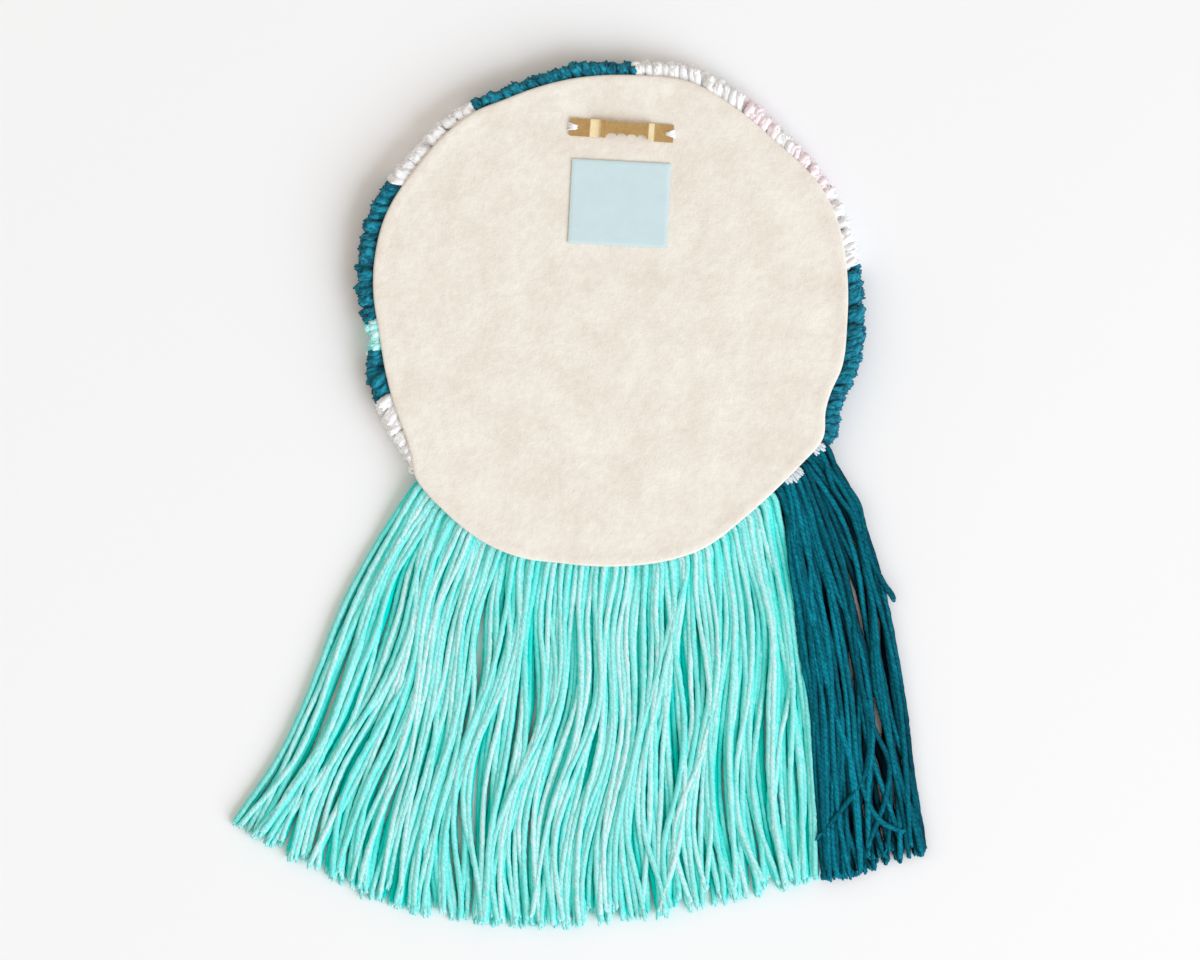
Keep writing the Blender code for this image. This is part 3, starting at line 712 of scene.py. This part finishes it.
def fringe(guides, lay, heap):
    """Strands of one fringe: an even lower layer, then strands in loose clumps on top of it."""
    strands = []
    upper = lay.number - lay.even
    clumps = np.sort(rng.uniform(0, 1, upper // CLUMP))
    for place, index in enumerate([*rng.permutation(lay.even), *rng.permutation(upper)]):
        lower = place < lay.even
        rank = ((index + rng.uniform(0.3, 0.7)) / (lay.even if lower else upper)) ** lay.crowd
        spread = lay.spread * (0.3 if lower else 1.0)
        guide = guide_at(guides, rank)
        nearest = clumps[np.argmin(abs(clumps - rank))]
        towards = 0.0 if lower else (nearest - rank) * rng.uniform(0.0, lay.pull)
        pulled = guide_at(guides, rank + towards + rng.normal(0, 0.4 * spread))
        guide = guide._replace(x1=pulled.x1, y1=pulled.y1)
        pulled = guide_at(guides, rank + rng.normal(0, spread))
        guide = guide._replace(x2=pulled.x2, y2=pulled.y2)
        pulled = guide_at(guides, rank + rng.normal(0, spread))
        guide = guide._replace(x3=pulled.x3, y3=pulled.y3)
        calm = lower or min(rank, 1 - rank) < EDGE_RANK
        waver = lay.waver * rng.uniform(0.25, 1.0) * MM * (CALM if calm else 1.0)
        points = flow(wander(course(guide), waver, rng.uniform(0.7, 1.5)), rank)
        cut = len(points) - int(abs(rng.normal(0, 1.6)))
        root_z = ROOT_LOW + (ROOT_HIGH - ROOT_LOW) * place / lay.number
        strands.append(strand(heap, points[:cut], YARN_RADIUS * rng.uniform(0.9, 1.08), root_z))
    return strands


SHADE_NEAR = 2.2 * MM  # reach over which the heap's top is looked for, for the painted shade
SHADE_DEPTH = 3.2 * MM  # depth under it at which a strand is darkest in painted shade
FRAY_PLIES = 4
FRAY_WIDTH = 1.9 * MM


def shaded_by_depth(strands, heap, darkest, sides):
    """Yarns with painted shade, darker the deeper each stretch lies under the heap's top, a random tone for
    each strand, and frayed ends.
    """
    yarns = []
    for points, radii in strands:
        cells = heap.cells(points)
        top = np.zeros(len(points))
        for dx, dy, _ in heap.footprint(SHADE_NEAR):
            top = np.maximum(top, heap.height[cells[:, 0] + dx, cells[:, 1] + dy])
        # painted shade: tone falls with the depth under the heap's top
        below = np.pad(top / PACKING - (points[:, 2] + radii), 2, mode="edge")
        below = np.convolve(below, np.full(5, 0.2), "valid")
        tone = np.clip(1.0 - below / SHADE_DEPTH, 0.0, 1.0) * rng.uniform(darkest, 1.0)
        yarns.append(Yarn(points, radii, tone, rng.uniform(), sides, STRAND_ROUGH))
        ahead = points[-1] - points[-2]
        ahead[2] = 0.0
        ahead *= rng.uniform(1.2, 2.8) * MM / np.linalg.norm(ahead)
        tip = points[-1] + ahead - np.array([0.0, 0.0, 0.3 * radii[-2]])
        tones = (tone[-1], 1.1)
        yarns.extend(splay(points[-3], tip, FRAY_PLIES, FRAY_WIDTH, END_RADIUS, 0.2 * MM, tones))
    return yarns


# Closed sheets


def join_rings(bm, above, below):
    for k in range(len(above)):
        after = (k + 1) % len(above)
        bm.faces.new((above[k], above[after], below[after], below[k]))


def close_rows(bm, rows):
    """Faces between rings of vertices, and over the first and the last one."""
    for above, below in zip(rows, rows[1:]):
        join_rings(bm, above, below)
    bm.faces.new(rows[0])
    bm.faces.new(rows[-1][::-1])


def finished(bm, name):
    """Mesh with its faces turned outwards."""
    bmesh.ops.recalc_face_normals(bm, faces=bm.faces)
    mesh = bpy.data.meshes.new(name)
    bm.to_mesh(mesh)
    bm.free()
    return mesh


# Felt back

FELT_COLUMNS = 360
FELT_ROWS = 70
FELT_CROWD = 1.6  # crowds the rows towards the edge
NOSE = 1.15 * MM
NOSE_ROWS = 9
UNDER_INSETS = (NOSE + 1 * MM, 12 * MM, 60 * MM)
CREASE_AT = Vector((30 * MM, 86 * MM))  # a faint pull in the felt beside the hanger's right end
CREASE_REACH = 14 * MM
SLOW_HIGH = 0.35 * MM
MATTED_HIGH = 0.09 * MM
PUCKER_HIGH = 0.14 * MM
CREASE_HIGH = 0.10 * MM
HEM_HIGH = 0.22 * MM


def felt_height(x, y, inset):
    """Height of the felt's upper side over its flat level. x and y are from the disc's centre."""
    slow = math.sin(31 * x + 17 * y + 0.6) + math.sin(-23 * x + 41 * y + 2.1) + math.sin(58 * x - 9 * y)
    clear_x = max(abs(x - LABEL_AT.x) - 26 * MM, 0.0)
    clear_y = max(28 * MM - y, y - 92 * MM, 0.0)
    away = float(smooth(math.hypot(clear_x, clear_y) / (18 * MM)))
    matted = noise.fractal(Vector((x, y, 0.0)) * 210.0, 0.8, 2.0, 3)
    pucker = noise.noise(Vector((math.atan2(y, x) * 22.0, 0.3, 1.0))) * bell(inset, 7 * MM, 6 * MM)
    near = math.hypot(x - CREASE_AT.x, (y - CREASE_AT.y) * 1.6)
    crease = bell(near, 0.0, CREASE_REACH) * math.sin((0.5 * x + y) * 420.0)
    soft = SLOW_HIGH * slow / 3 * away + MATTED_HIGH * matted
    edge = PUCKER_HIGH * pucker + HEM_HIGH * bell(inset, 2.6 * MM, 2.2 * MM)
    return soft + edge + CREASE_HIGH * crease * away


def make_felt():
    """Felt disc as a closed sheet: waved and matted above, with a rolled edge, flat below."""
    bm = bmesh.new()
    angles = [360.0 * k / FELT_COLUMNS for k in range(FELT_COLUMNS)]
    edge = [felt_radius(angle) for angle in angles]
    rows = []
    # Upper side, from the middle out to the start of the nose
    for k in range(FELT_ROWS):
        share = max(1 - (1 - k / FELT_ROWS) ** FELT_CROWD, 0.02)
        row = []
        for angle, radius in zip(angles, edge):
            point = polar((radius - NOSE) * share, angle, 0.0)
            x, y = point[0] - DISC.x, point[1] - DISC.y
            point[2] = FELT_TOP + felt_height(x, y, radius - math.hypot(x, y))
            row.append(bm.verts.new(point))
        rows.append(row)
    # Nose and the flat underside
    thick = FELT_TOP - FELT_UNDER
    for k in range(1, NOSE_ROWS):
        swing = math.pi * k / NOSE_ROWS
        row = []
        for angle, radius in zip(angles, edge):
            point = polar(radius - NOSE + NOSE * math.sin(swing), angle, 0.0)
            x, y = point[0] - DISC.x, point[1] - DISC.y
            upper = felt_height(x, y, NOSE) * (1 + math.cos(swing)) / 2
            point[2] = FELT_UNDER + thick * (1 + math.cos(swing)) / 2 + upper
            row.append(bm.verts.new(point))
        rows.append(row)
    for inset in UNDER_INSETS:
        rims = [polar(radius - inset, angle, FELT_UNDER) for angle, radius in zip(angles, edge)]
        rows.append([bm.verts.new(point) for point in rims])
    close_rows(bm, rows)
    for face in bm.faces:
        face.smooth = True
    return new_object("felt_back", finished(bm, "felt_back"), felt_material())


# Canvas that carries the pile

CANVAS_THICK = 0.8 * MM
CANVAS_INSET = 3.0 * MM
CANVAS_COLUMNS = 180
CANVAS_PITCH = 1.6 * MM


def make_canvas():
    """Woven ground cloth of the tufting, just under the felt."""
    bm = bmesh.new()
    low = PILE_TOP - CANVAS_THICK
    rows = []
    for share, z in ((0.5, PILE_TOP), (1.0, PILE_TOP), (1.0, low), (0.5, low)):
        row = []
        for k in range(CANVAS_COLUMNS):
            angle = 360.0 * k / CANVAS_COLUMNS
            row.append(bm.verts.new(polar((felt_radius(angle) - CANVAS_INSET) * share, angle, z)))
        rows.append(row)
    close_rows(bm, rows)
    material = weave_material("canvas_cloth", linear(214, 205, 188), CANVAS_PITCH, 0.25 * MM)
    return new_object("canvas", finished(bm, "canvas"), material)


# Cut pile

TUFT_PITCH = 2.3 * MM
TUFT_LEAN = 0.4  # how far a tip leans round the rim, counterclockwise, for each part that it stands out
Tufts = namedtuple("Tufts", "root_z reach droop arch")
TUFT_ROWS = [  # from the felt down
    Tufts(8.5 * MM, 0.88, -2.2 * MM, 0.5 * MM),
    Tufts(6.6 * MM, 1.0, -0.2 * MM, 0.8 * MM),
    Tufts(4.4 * MM, 0.94, 1.2 * MM, 0.6 * MM),
]
UNDER_PITCH = 4.3 * MM
UNDER_ROOT = 9.6 * MM
UNDER_FOOT = 0.25 * MM
FRINGE_FROM = 217.5
FRINGE_TO = 331.0
PILE_COLOURS = ("teal", "white", "pink", "aqua")
WISPS = [Reach(318.3, 2.6), Reach(320.0, 4.2), Reach(321.3, 3.4), Reach(327.8, 2.6), Reach(329.2, 3.6)]
WISP_PLIES = 12
WISP_WIDTH = 3.6 * MM
UNDER_RADIUS = 2.0 * MM
UNDER_ALONG = np.array([0.0, 0.35, 0.8, 0.94, 1.0])
UNDER_TAPER = np.array([0.5, 0.85, 1.0, 0.9, 0.45])
# painted shade: a pile end is darkest at its root, deep in the pile
UNDER_SHADE_TONE = np.array([0.1, 0.4, 0.85, 1.0, 1.0])


def rim_colour(angle):
    angle = (angle - RIM_FROM) % 360.0 + RIM_FROM
    for block in RIM_BLOCKS:
        if angle <= block.to:
            return block.colour
    return "white"


def rim_tufts(piles):
    """Rows of cut ends that splay out from under the felt round the open rim."""
    for row in TUFT_ROWS:
        angle = RIM_FROM + rng.uniform(0, 1)
        while angle < FRINGE_FROM - 0.4:
            radius = felt_radius(angle)
            reach = pile_reach(angle) * row.reach * rng.uniform(0.9, 1.06)
            lean = math.degrees(TUFT_LEAN * reach / radius) + rng.normal(0, 1.0)
            root = polar(radius - 3.5 * MM, angle, row.root_z + rng.uniform(-0.4, 0.4) * MM)
            drop = row.droop * rng.uniform(0.6, 1.3)
            tip = polar(radius + reach - 1.4 * MM, angle + lean, row.root_z - drop)
            colour = rim_colour(angle + lean / 2 + rng.normal(0, 0.5))
            piles[colour].extend(lump(root, tip, 1.8 * MM * rng.uniform(0.85, 1.15), row.arch))
            angle += math.degrees(TUFT_PITCH / (radius + 3 * MM)) * rng.uniform(0.85, 1.15)


FIELD_MIDDLE = 34 * MM  # radius of the white middle
FIELD_FRINGED = 62 * MM  # radius from which the fringes' colours reach in
AQUA_TO = 314.0


def field_colour(x, y):
    """Plain fields of colour over the pile side, that run in from the rim's blocks."""
    angle = math.degrees(math.atan2(y, x))
    radius = math.hypot(x, y)
    bend = 26.0 * math.sin(radius * 38.0) + 9.0 * math.sin(x * 90.0)
    if radius < FIELD_MIDDLE + 5 * MM * math.sin(math.radians(angle) * 3):
        return "white"
    if FRINGE_FROM < angle % 360.0 < FRINGE_TO and radius > FIELD_FRINGED:
        return "aqua" if angle % 360.0 < AQUA_TO else "teal"
    return rim_colour(angle + bend * (1 - radius / (108 * MM)))


def under_tufts(piles):
    """Cut ends of the pile side, standing down to the surface on a jittered grid."""
    across = int(112 * MM / UNDER_PITCH)
    for row in range(-across, across + 1):
        for column in range(-across, across + 1):
            x = (column + 0.5 * (row % 2)) * UNDER_PITCH + rng.uniform(-0.5, 0.5) * MM
            y = row * UNDER_PITCH * 0.87 + rng.uniform(-0.5, 0.5) * MM
            angle = math.degrees(math.atan2(y, x)) % 360.0
            inset = 7.5 * MM if FRINGE_FROM < angle < FRINGE_TO else 1.0 * MM
            if math.hypot(x, y) > felt_radius(angle) - inset:
                continue
            root = np.array([DISC.x + x, DISC.y + y, UNDER_ROOT])
            lean = rng.normal(0, 0.6, 2) * MM
            tip = np.array([root[0] + lean[0], root[1] + lean[1], UNDER_FOOT + rng.uniform(0, 0.8) * MM])
            points = root + (tip - root) * UNDER_ALONG[:, None]
            tone = UNDER_SHADE_TONE * rng.uniform(0.85, 1.0)
            yarn = Yarn(points, UNDER_RADIUS * UNDER_TAPER, tone, rng.uniform(), 6)
            piles["under_" + field_colour(x, y)].append(yarn)


def make_pile():
    """Rim and underside of the pile, one piece for each colour."""
    piles = {prefix + colour: [] for prefix in ("", "under_") for colour in PILE_COLOURS}
    piles["wisps"] = []
    rim_tufts(piles)
    for wisp in WISPS:
        radius = felt_radius(wisp.angle)
        root = polar(radius - 3.0 * MM, wisp.angle, 9.2 * MM)
        tip = polar(radius + wisp.reach * MM, wisp.angle, 8.6 * MM)
        # painted shade: a wisp is darker at its root under the felt
        piles["wisps"].extend(splay(root, tip, WISP_PLIES, WISP_WIDTH, WISP_RADIUS, 1.4 * MM, (0.5, 1.0)))
    under_tufts(piles)
    pieces = []
    for key, yarns in piles.items():
        if not yarns:
            continue
        colour = key.replace("under_", "")
        name = "pile_" + key
        pieces.append(new_object(name, yarn_mesh(name, yarns), YARNS[colour]))
    return pieces


def make_fringes():
    """Both fringes, laid on one heap so that they rest against each other."""
    heap = Heap((-0.175, -0.215), (0.175, 0.06))
    aqua = fringe(AQUA_GUIDES, AQUA_LAY, heap)
    teal = fringe(TEAL_GUIDES, TEAL_LAY, heap)
    for way in TEAL_WAYS:
        teal.append(strand(heap, laid_from(way.angle, way.points), YARN_RADIUS, ROOT_HIGH))
    half = AQUA_LAY.even
    layers = {
        "fringe_aqua_lower": shaded_by_depth(aqua[:half], heap, 0.6, 6),
        "fringe_aqua_upper": shaded_by_depth(aqua[half:], heap, 0.5, 8),
    }
    pieces = []
    for name, yarns in layers.items():
        pieces.append(new_object(name, yarn_mesh(name, yarns), YARNS["fringe_aqua"]))
    name = "fringe_teal_yarn"
    yarns = shaded_by_depth(teal, heap, 0.4, 8)
    return [*pieces, new_object(name, yarn_mesh(name, yarns), YARNS["fringe_teal"])]


# Label

LABEL_TURN = math.radians(-3.0)
LABEL_SIZE = (42.7 * MM, 36.4 * MM)
LABEL_THICK = 0.7 * MM
LABEL_CELLS = 48
LABEL_PITCH = 0.5 * MM


def label_point(u, v):
    """Point on the label's upper side. u and v run from -0.5 to 0.5 over it."""
    edge = min(0.5 - abs(u), 0.5 - abs(v))
    z = SEWN_ON + LABEL_THICK + 0.06 * MM * noise.noise(Vector((u * 3, v * 3, 5.0)))
    z -= 0.25 * MM * (1 - float(smooth(edge / 0.02)))
    x, y = turned(u * LABEL_SIZE[0], v * LABEL_SIZE[1], LABEL_TURN)
    return DISC.x + LABEL_AT.x + x, DISC.y + LABEL_AT.y + y, z


def make_label():
    """Blank woven label, a thin sheet with soft edges."""
    bm = bmesh.new()
    steps = [k / LABEL_CELLS - 0.5 for k in range(LABEL_CELLS + 1)]
    grid = [[bm.verts.new(label_point(u, v)) for u in steps] for v in steps]
    for row, above in zip(grid, grid[1:]):
        for k in range(LABEL_CELLS):
            bm.faces.new((row[k], row[k + 1], above[k + 1], above[k]))
    right, left = [row[-1] for row in grid], [row[0] for row in grid]
    rim = [*grid[0][:-1], *right[:-1], *grid[-1][:0:-1], *left[:0:-1]]
    low = [bm.verts.new((vert.co.x, vert.co.y, SEWN_ON)) for vert in rim]
    join_rings(bm, rim, low)
    bm.faces.new(low)
    mesh = finished(bm, "label_cloth")
    mesh.shade_smooth()
    mesh.set_sharp_from_angle(angle=math.radians(50))
    material = weave_material("label_weave", linear(214, 236, 240), LABEL_PITCH, 0.08 * MM)
    return new_object("label_cloth", mesh, material)


# Hanger

HANGER_AT = Vector((4.6 * MM, 82.4 * MM))
HANGER_TURN = math.radians(-4.1)
HANGER_THICK = 0.8 * MM
TAB_HALF = 3.8 * MM
NOTCH_HALF = 1.25 * MM
NOTCH_DEPTH = 3.0 * MM
TAB_END = 22.4 * MM
Bend = namedtuple("Bend", "x lift")
HANGER_BENDS = [  # its lift along it, in mm: a slope up, a pressed step, the middle, a slope down
    Bend(-22.4, 0.0), Bend(-14.3, 0.0), Bend(-13.7, 0.12), Bend(-13.0, 0.5),
    Bend(-10.0, 1.85), Bend(-9.5, 1.98), Bend(-9.2, 1.9), Bend(-8.9, 1.62),
    Bend(-7.2, 1.62), Bend(-6.9, 1.9), Bend(-6.6, 2.0), Bend(11.4, 2.0),
    Bend(11.8, 1.9), Bend(13.9, 0.16), Bend(14.4, 0.0), Bend(22.4, 0.0),
]
NUBS = (-2.6 * MM, 4.1 * MM, 11.0 * MM)  # on the middle's upper edge
NUB_HALF = 0.45 * MM
NUB_HIGH = 0.7 * MM
TOOTH_PITCH = 4.4 * MM
TEETH = 4
TEETH_CENTRE = 2.4 * MM
TOOTH_TIP = -2.9 * MM
TOOTH_DEPTH = 1.3 * MM
TOOTH_SHOULDER = 0.5 * MM
MIDDLE_TOP = 3.3 * MM
TEETH_FROM = TEETH_CENTRE - TEETH / 2 * TOOTH_PITCH
TEETH_TO = TEETH_CENTRE + TEETH / 2 * TOOTH_PITCH
BEVEL = 0.13 * MM


def hanger_edges(x):
    """Lower and upper edge of the hanger at a station along it."""
    if x < TEETH_FROM - TOOTH_SHOULDER or x > TEETH_TO + TOOTH_SHOULDER:
        return -TAB_HALF, TAB_HALF
    if x < TEETH_FROM or x > TEETH_TO:
        blend = min(max(TEETH_FROM - x, x - TEETH_TO) / TOOTH_SHOULDER, 1.0)
        return TOOTH_TIP + (-TAB_HALF - TOOTH_TIP) * blend, MIDDLE_TOP + (TAB_HALF - MIDDLE_TOP) * blend
    share = ((x - TEETH_FROM) / TOOTH_PITCH) % 1.0
    arc = math.sqrt(max(1 - (2 * share - 1) ** 2, 0.0))
    nub = NUB_HIGH if min(abs(x - at) for at in NUBS) < NUB_HALF else 0.0
    return TOOTH_TIP + TOOTH_DEPTH * arc, MIDDLE_TOP + nub


def notch_half(x):
    """Half the width of the notch in a tab's end, which is round at its inner end."""
    depth = TAB_END - abs(x)
    if depth >= NOTCH_DEPTH:
        return NOTCH_HALF
    inward = max(1 - (NOTCH_DEPTH - depth) / NOTCH_HALF, 0.0)
    return max(NOTCH_HALF * math.sqrt(max(1 - inward**2, 0.0)), 0.15 * MM)


def hanger_stations():
    """Places along the hanger where its outline or its lift changes."""
    teeth = np.linspace(TEETH_FROM, TEETH_TO, TEETH * 12 + 1)
    notch = np.linspace(TAB_END - NOTCH_DEPTH, TAB_END, 7)
    gaps = (-0.05 * MM, 0.05 * MM)
    nubs = [at + side * (NUB_HALF + gap) for at in NUBS for side in (-1, 1) for gap in gaps]
    bends = [bend.x * MM for bend in HANGER_BENDS]
    places = (*-notch, *notch, *teeth, *nubs, *bends, TEETH_FROM - TOOTH_SHOULDER)
    return sorted({round(float(x), 6) for x in places})


def make_hanger():
    """Pressed brass strip: notched tabs, bends, and a raised middle with a scalloped lower edge."""
    stations = hanger_stations()
    bends = np.array(HANGER_BENDS) * MM
    lifts = np.interp(stations, bends[:, 0], bends[:, 1])
    bm = bmesh.new()
    top, under = [], []
    for x, lift in zip(stations, lifts):
        low, high = hanger_edges(x)
        across = (low, -notch_half(x), notch_half(x), high)
        top.append([bm.verts.new((x, y, SEWN_ON + lift + HANGER_THICK)) for y in across])
        under.append([bm.verts.new((x, y, SEWN_ON + lift)) for y in across])
    middles = [(here + there) / 2 for here, there in zip(stations, stations[1:])]
    open_cells = {(k, 1) for k, middle in enumerate(middles) if TAB_END - abs(middle) < NOTCH_DEPTH}
    cells = {(k, j) for k in range(len(middles)) for j in range(3)} - open_cells
    for k, j in sorted(cells):
        corners = [(k, j), (k + 1, j), (k + 1, j + 1), (k, j + 1)]
        neighbours = [(k, j - 1), (k + 1, j), (k, j + 1), (k - 1, j)]
        bm.faces.new([top[a][b] for a, b in corners])
        bm.faces.new([under[a][b] for a, b in reversed(corners)])
        for side, neighbour in enumerate(neighbours):
            if neighbour not in cells:
                a, b = corners[side]
                c, d = corners[(side + 1) % 4]
                bm.faces.new((top[a][b], under[a][b], under[c][d], top[c][d]))
    mesh = finished(bm, "hanger_brass")
    mesh.shade_smooth()
    mesh.set_sharp_from_angle(angle=math.radians(40))
    obj = new_object("hanger_brass", mesh, brass_material())
    bevel = obj.modifiers.new("rounded", "BEVEL")
    bevel.width = BEVEL
    bevel.segments = 2
    bevel.limit_method = "ANGLE"
    bevel.angle_limit = math.radians(50)
    obj.rotation_euler.z = HANGER_TURN
    obj.location = (DISC.x + HANGER_AT.x, DISC.y + HANGER_AT.y, 0.0)
    return obj


THREAD_RADIUS = 0.33 * MM
STITCHES = 9
STITCH_PITCH = 0.42 * MM
STITCH_STEPS = 12
STITCH_HIGH = 1.7 * MM


def make_thread():
    """White sewing thread: a few stitches from each notch over the tab's end into the felt."""
    material, shader = new_material("thread_white", linear(246, 246, 250), 0.6)
    shader.inputs["Sheen Weight"].default_value = 0.2
    place = add_node(material, "ShaderNodeTexCoord").outputs["Object"]
    add_bump(material, shader, noise_node(material, place, 2200.0), 0.1 * MM, 0.6)
    yarns = []
    for end in (-1, 1):
        for k in range(STITCHES):
            from_x = end * (TAB_END - NOTCH_DEPTH - rng.uniform(-0.2, 0.9) * MM)
            inner = Vector((from_x, rng.uniform(-0.8, 0.8) * MM))
            to_x = end * (TAB_END + rng.uniform(0.2, 1.0) * MM)
            outer = Vector((to_x, (k - STITCHES // 2) * STITCH_PITCH + rng.uniform(-0.2, 0.2) * MM))
            points = []
            for share in np.linspace(0, 1, STITCH_STEPS):
                x, y = turned(*inner.lerp(outer, share), HANGER_TURN)
                z = SEWN_ON - 0.4 * MM + STITCH_HIGH * math.sin(math.pi * share) ** 0.6
                points.append((DISC.x + HANGER_AT.x + x, DISC.y + HANGER_AT.y + y, z))
            radii, tone = np.full(STITCH_STEPS, THREAD_RADIUS), np.ones(STITCH_STEPS)
            yarns.append(Yarn(np.array(points), radii, tone, rng.uniform(), 8))
    return new_object("hanger_thread", yarn_mesh("hanger_thread", yarns), material)


# Stage


def add_lamp(name, place, size, energy, colour):
    """Square soft light that faces the middle of the stage."""
    light = bpy.data.lights.new(name, "AREA")
    light.size = size
    light.energy = energy
    light.color = colour
    lamp = bpy.data.objects.new(name, light)
    lamp.location = place
    lamp.rotation_euler = (-place).to_track_quat("-Z", "Y").to_euler()
    bpy.context.scene.collection.objects.link(lamp)


FLOOR_SIZE = 6.0
FLOOR_BELOW = 0.05 * MM


def make_stage():
    """Plain pale floor, soft light from the lower right, camera straight above."""
    bpy.ops.mesh.primitive_plane_add(size=FLOOR_SIZE, location=(0, 0, -FLOOR_BELOW))
    floor = bpy.context.active_object
    floor.name = "floor"
    material, _ = new_material("floor_pale", linear(248, 248, 249), 0.8)
    floor.data.materials.append(material)
    world = bpy.data.worlds.new("studio")
    bpy.context.scene.world = world
    world.use_nodes = True
    background = world.node_tree.nodes["Background"]
    background.inputs["Color"].default_value = (1.0, 0.915, 0.82, 1.0)
    background.inputs["Strength"].default_value = 0.63
    add_lamp("window", Vector((4.05, -3.40, 3.60)), 4.8, 388.0, (0.77, 0.88, 1.0))
    add_lamp("card", Vector((-1.5, 0.3, 1.3)), 0.5, 1.2, (1.0, 0.98, 0.95))
    camera = bpy.data.cameras.new("camera")
    camera.sensor_width = SENSOR
    camera.lens = SENSOR * (CAMERA_HEIGHT - FELT_TOP) / FRAME_WIDTH
    view = bpy.data.objects.new("camera", camera)
    view.location = (DISC.x + FRAME_CENTRE.x, DISC.y + FRAME_CENTRE.y, CAMERA_HEIGHT)
    bpy.context.scene.collection.objects.link(view)
    bpy.context.scene.camera = view
    bpy.context.scene.view_settings.view_transform = "Standard"


make_stage()
felt = make_felt()
canvas = make_canvas()
pile = make_pile()
fringes = make_fringes()
label = make_label()
hanger = make_hanger()
thread = make_thread()

for piece in (felt, canvas, *pile, *fringes, label, hanger, thread):
    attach(piece, "root")

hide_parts("backing")
for piece in (canvas, *pile):
    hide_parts("tufted_face")
for piece in fringes[:2]:
    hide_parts("fringe_aqua")
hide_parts("fringe_teal")
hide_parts("label")
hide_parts("sawtooth_hanger")
